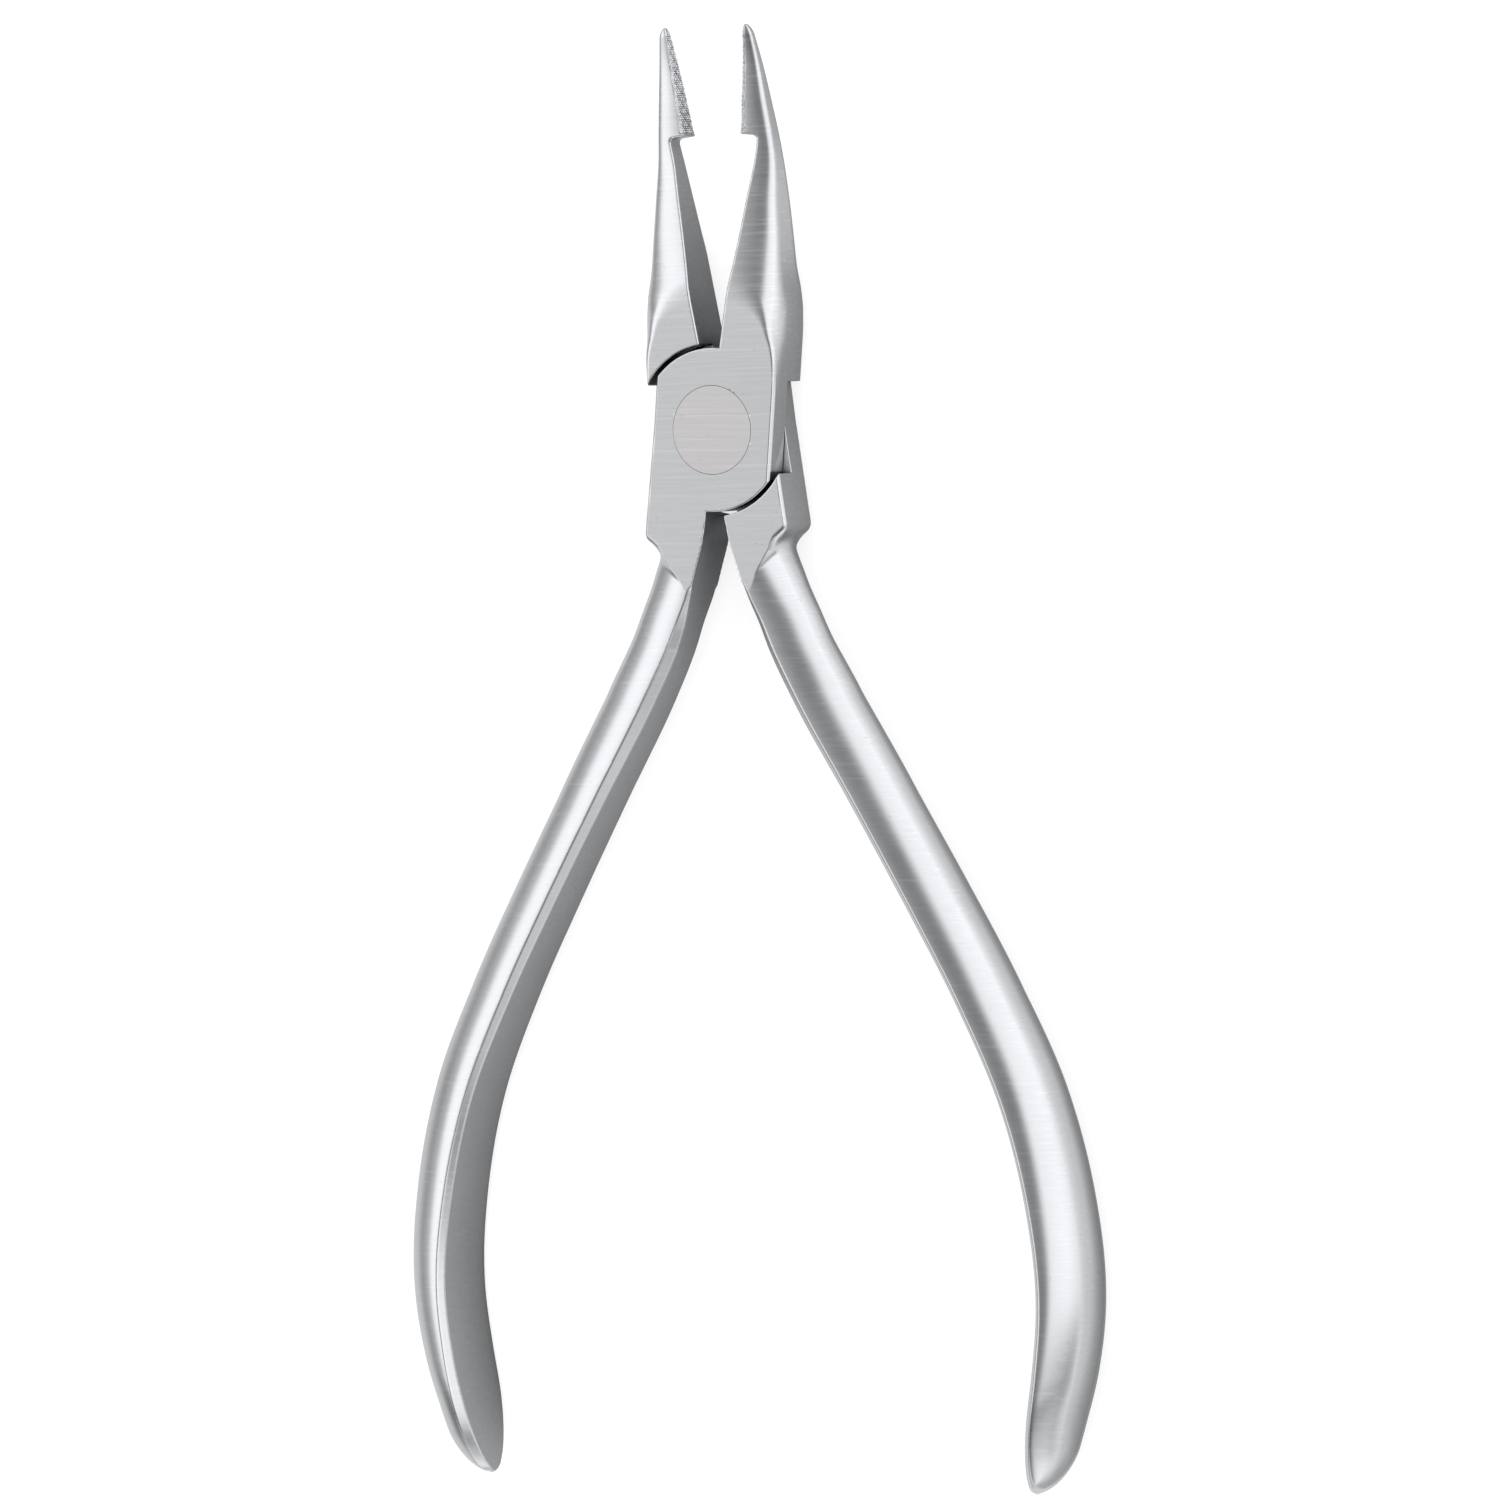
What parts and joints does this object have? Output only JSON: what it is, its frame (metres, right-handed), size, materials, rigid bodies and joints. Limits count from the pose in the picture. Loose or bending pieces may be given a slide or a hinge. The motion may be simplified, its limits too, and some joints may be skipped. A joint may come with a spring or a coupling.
{
  "type": "crimping pliers",
  "caption": "Slim lap-jointed hand pliers in satin steel with curved narrow jaws, cross-cut gripping pads and bowed handles.",
  "frame": {"origin": "on the pivot axis, at the flat back face of the rear lap plate", "axes": "+Z along the pivot, out of the front face; +Y along the tool towards the jaw tips; +X across the tool"},
  "size_m": [0.0742, 0.1394, 0.0092],
  "materials": {
    "forged_steel": "fine satin brushed stainless steel",
    "screw_steel": "ground flush with the joint face, satin brushed",
    "pad_steel": "hard cross-cut gripping face, fine diamond teeth"
  },
  "bodies": {
    "rear_body": {"rear_half": "forged_steel", "pivot_screw": "screw_steel", "rear_jaw_insert": "pad_steel"},
    "front_body": {"front_half": "forged_steel", "front_jaw_insert": "pad_steel"}
  },
  "joints": [
    {"name": "jaw_pivot", "type": "hinge", "parent": "rear_body", "child": "front_body", "pos_m": [0, 0, 0.00262], "axis": [0, 0, 1], "range_deg": [-30, 12.2]}
  ]
}
